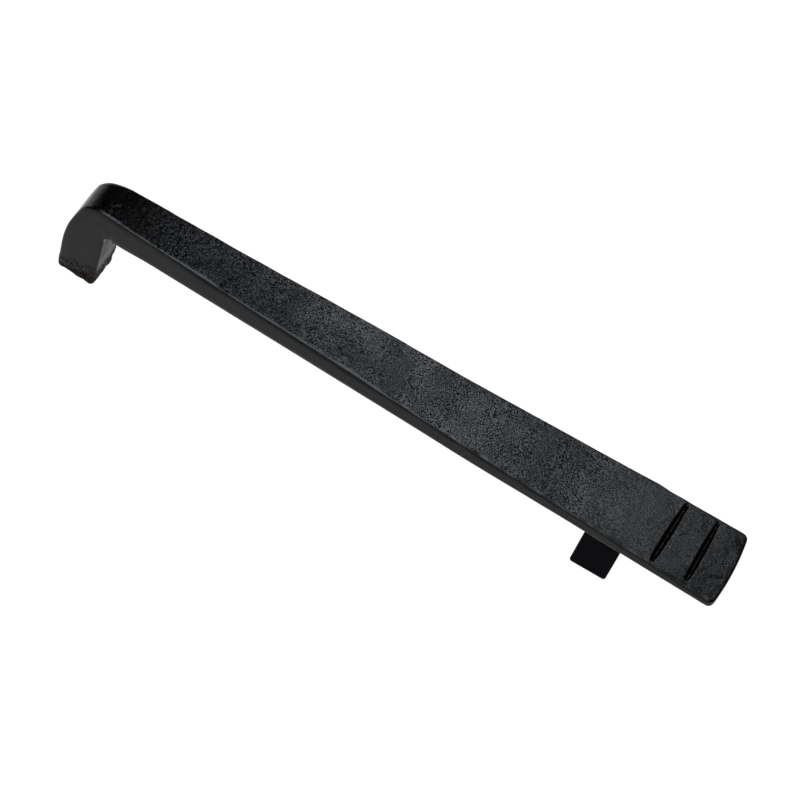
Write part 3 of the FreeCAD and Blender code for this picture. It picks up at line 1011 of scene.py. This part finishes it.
    def build(self) -> Piece:
        """Loft the bar, with its tapped foot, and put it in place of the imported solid."""
        rings, along = self.plain_rings()
        rings, layers = self.dented(rings, along)
        minor, major, depth = self.bore
        bore = TappedBore(self.leg_axis, depth, minor, major)
        edge = rings[0]
        inside = np.array(bore.drill_cone(edge, 1.4) + bore.thread(edge) + bore.foot_face(edge))
        in_bore = {"pitting": 0.0, "worn": 1.0, "dry": 1.0, "wear_and_painted_shade": 0.0}
        for layer, value in in_bore.items():
            layers[layer] = np.concatenate([np.full(inside.shape[:2], value), layers[layer]])
        stack = np.concatenate([inside, rings])
        piece = build_mesh("forged_grip_bar", self.section, stack, False, layers)
        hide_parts("grip_bar")
        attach(piece, "root")
        return piece

    def dress(self, piece: Piece) -> None:
        """Paint the bar."""
        dress(piece, BakedPaintOnForging().material())


@dataclass
class StandoffPost:
    """The plain square post under the wide end, bored right through for its screw and its stud.

    Attributes:
        edge_radius: Radius of the four upright edges.
        foot_round: Radius round the rim of the foot.
        thread_depth: From the foot to the stud.
        bore: Minor and major radius of the thread.
    """

    edge_radius: float = 1.0
    foot_round: float = 0.8
    thread_depth: float = 17.0
    bore: tuple[float, float] = (2.5, 3.0)
    section: Section = field(default_factory=lambda: Section(across=26, deep=27, round=4))

    def build(self) -> Piece:
        """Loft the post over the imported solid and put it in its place."""
        low, high = cad_box_mm("standoff_post")
        rising = np.linspace(self.foot_round, high[2], 30)
        heights = np.concatenate([rim_depths(self.foot_round), rising])
        inset = rounding(self.foot_round, heights)
        outer = np.stack([low[0] + inset, heights], axis=-1)
        inner = np.stack([high[0] - inset, heights], axis=-1)
        radii = CornerRadii(*(np.full_like(heights, self.edge_radius) for _ in range(3)))
        rings = self.section.rings(inner, outer, -low[1] - inset, high[1] - inset, radii)
        wave = 0.05 * Lumps(8.0, 41, 2).at(rings) * ease(0.0, 3.0, high[2] - rings[..., 2])
        rings = rings + grid_normals(rings) * (wave - 0.04)[..., None]
        rings[..., 2] = np.clip(rings[..., 2], 0.0, high[2])
        axis = float(low[0] + high[0]) / 2
        minor, major = self.bore
        bore = TappedBore(axis, self.thread_depth, minor, major)
        edge = rings[0]
        mouth = bore.circle(edge, major, high[2])
        roof = [rings[-1] + (mouth - rings[-1]) * k / 4 for k in range(1, 5)]
        levels = np.linspace(high[2] - 1.0, self.thread_depth, 12)
        seat = [bore.circle(edge, major, z) for z in levels]
        stack = np.concatenate([rings, roof, seat, bore.thread(edge), bore.foot_face(edge)])
        piece = build_mesh("square_standoff_post", self.section, stack, True, {})
        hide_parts("standoff_post")
        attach(piece, "root")
        return piece

    def dress(self, piece: Piece) -> None:
        """Paint the post."""
        dress(piece, BakedPaintOnDrawnBar().material())


@dataclass(frozen=True)
class HiddenFixings:
    """The stud and the dowel between post and bar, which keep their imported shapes."""

    stud: str = "post_stud"
    dowel: str = "locating_dowel"

    def dress(self) -> None:
        """Give both their steel."""
        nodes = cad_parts
        for node, finish in ((self.stud, ZincPlatedThread()), (self.dowel, GroundDowelSteel())):
            materials = nodes[node].data.materials
            materials.clear()
            materials.append(finish.material())


# ------------------------------------------------------------------ studio


@dataclass(frozen=True)
class SoftBox:
    """A soft light panel.

    Attributes:
        name: What it does.
        place: Middle of the panel, in metres.
        aim: Point that it faces, in metres.
        size: Width and height of the panel, in metres.
        watts: Its power.
        tint: Colour of its light.
    """

    name: str
    place: tuple[float, float, float]
    aim: tuple[float, float, float]
    size: tuple[float, float]
    watts: float
    tint: str = "#fbfcff"

    def build(self) -> None:
        """Hang the panel."""
        light = bpy.data.lights.new(self.name, "AREA")
        light.shape = "RECTANGLE"
        light.size, light.size_y = self.size
        light.energy = self.watts
        light.color = linear_from_hex(self.tint)[:3]
        panel = bpy.data.objects.new(self.name, light)
        panel.location = self.place
        panel.visible_camera = False
        direction = Vector(self.aim) - Vector(self.place)
        panel.rotation_euler = direction.to_track_quat("-Z", "Y").to_euler()
        bpy.context.scene.collection.objects.link(panel)


@dataclass(frozen=True)
class Viewpoint:
    """The camera, given by what it looks at and from where.

    Attributes:
        aim: Point on its axis, in metres.
        distance: From that point, in metres.
        azimuth: Degrees round from the near side towards the tip.
        elevation: Degrees above the floor.
        roll: Degrees that the camera is turned about its axis.
        lens: Focal length for a sensor 36 mm wide.
    """

    aim: tuple[float, float, float] = (0.0198, -0.0084, 0.0350)
    distance: float = 0.9786
    azimuth: float = 7.85
    elevation: float = 54.68
    roll: float = 23.42
    lens: float = 132.87

    def build(self) -> None:
        """Make the camera and let the scene use it."""
        angles = (self.azimuth, self.elevation, self.roll)
        azimuth, elevation, roll = (math.radians(angle) for angle in angles)
        facing = Matrix.Rotation(azimuth, 4, "Z") @ Matrix.Rotation(TURN / 4 - elevation, 4, "X")
        turned = facing @ Matrix.Rotation(roll, 4, "Z")
        data = bpy.data.cameras.new("camera")
        data.lens = self.lens
        data.sensor_width = 36.0
        data.clip_end = 50.0
        camera = bpy.data.objects.new("camera", data)
        step_back = Matrix.Translation((0.0, 0.0, self.distance))
        camera.matrix_world = Matrix.Translation(self.aim) @ turned @ step_back
        bpy.context.scene.collection.objects.link(camera)
        bpy.context.scene.camera = camera


@dataclass(frozen=True)
class Studio:
    """A light table, soft panels round it and a pale surround.

    Attributes:
        floor_radius: Radius of the round floor, in metres.
        glass: Colour of the floor's opal glass when it is not lit.
        glow: Colour of its glow.
        glow_strength: Strength of its glow.
        surround: Colour that the camera sees beyond the floor.
        surround_light: Share of the surround's brightness that lights the scene.
    """

    floor_radius: float = 8.0
    glass: str = "#4c4c4c"
    glow: str = "#fdfdfd"
    glow_strength: float = 0.98
    surround: str = "#fefefe"
    surround_light: float = 0.01
    panels: tuple[SoftBox, ...] = (
        SoftBox("rear_bank", (0.0085, 0.145, 0.245), (0.0085, 0.0, 0.035), (0.153, 0.100), 0.43),
        SoftBox("rear_end_bank", (0.1275, 0.145, 0.245), (0.1275, 0.0, 0.035), (0.085, 0.100), 0.130),
        SoftBox("far_panel", (-0.30, 1.3, 0.30), (0.0, 0.0, 0.02), (1.8, 0.4), 1.5),
        SoftBox("near_panel", (0.0, -1.25, 0.70), (0.0, 0.0, 0.02), (1.6, 0.9), 11.5),
        SoftBox("edge_bank", (0.03, -0.15, 1.10), (0.06, 0.0, 0.03), (0.20, 1.1), 2.4),
        SoftBox("heel_panel", (-0.52, 0.30, 0.10), (-0.10, 0.0, 0.04), (0.16, 0.20), 0.09),
        SoftBox("overhead_bank", (-0.13, -0.50, 1.10), (-0.04, 0.0, 0.03), (0.26, 1.2), 16.0),
    )

    def build(self) -> None:
        """Lay the floor and hang everything."""
        self._floor()
        for panel in self.panels:
            panel.build()
        self._world()
        bpy.context.scene.view_settings.view_transform = "Standard"

    def _floor(self) -> None:
        """A light table just under the feet, which glows so evenly that hardly any shadow shows."""
        rim = [(math.cos(k * TURN / 96), math.sin(k * TURN / 96)) for k in range(96)]
        corners = [(self.floor_radius * x, self.floor_radius * y, -0.00005) for x, y in rim]
        mesh = bpy.data.meshes.new("studio_floor")
        mesh.from_pydata(corners, [], [list(range(96))])
        mesh.update()
        floor = bpy.data.objects.new("studio_floor", mesh)
        bpy.context.scene.collection.objects.link(floor)
        glass = Finish("lit_opal_glass")
        glass.fix(Base_Color=linear_from_hex(self.glass), Roughness=0.9, Specular_IOR_Level=0.1)
        glow = linear_from_hex(self.glow)
        glass.fix(Emission_Color=glow, Emission_Strength=self.glow_strength)
        settings = {"Scale": 1.0 / (1.2 * MM), "Detail": 3.0, "Roughness": 0.55}
        fibre = add_node(glass.tree, "ShaderNodeTexNoise", settings, {"Vector": glass.place})
        settings = {"Distance": 0.02 * MM, "Strength": 0.2}
        bump = add_node(glass.tree, "ShaderNodeBump", settings, {"Height": fibre.outputs["Fac"]})
        glass.feed("Normal", bump.outputs["Normal"])
        mesh.materials.append(glass.material)

    def _world(self) -> None:
        """A surround that looks pale beyond the floor and adds only a little light."""
        world = bpy.data.worlds.new("surround")
        bpy.context.scene.world = world
        world.use_nodes = True
        tree = world.node_tree
        tree.nodes.clear()
        ray = add_node(tree, "ShaderNodeLightPath", {}, {})
        links = {0: ray.outputs["Is Camera Ray"]}
        for place, strength in ((1, self.surround_light), (2, 1.0)):
            settings = {"Color": linear_from_hex(self.surround), "Strength": strength}
            links[place] = add_node(tree, "ShaderNodeBackground", settings, {}).outputs["Background"]
        mix = add_node(tree, "ShaderNodeMixShader", {}, links)
        add_node(tree, "ShaderNodeOutputWorld", {}, {"Surface": mix.outputs["Shader"]})


def main() -> None:
    """Build the handle and its studio, in order."""
    logging.basicConfig(level=logging.INFO, format="%(name)s: %(message)s")
    for maker in (GripBar(), StandoffPost()):
        piece = maker.build()
        maker.dress(piece)
        low, high = (Vector(c) for c in (piece.bound_box[0], piece.bound_box[6]))
        size = [round(value / MM, 1) for value in high - low]
        log.info("%s: %d faces, %s mm", piece.name, len(piece.data.polygons), size)
    HiddenFixings().dress()
    log.info("stud and dowel keep their packed shapes")
    Studio().build()
    Viewpoint().build()


if __name__ == "__main__":
    main()
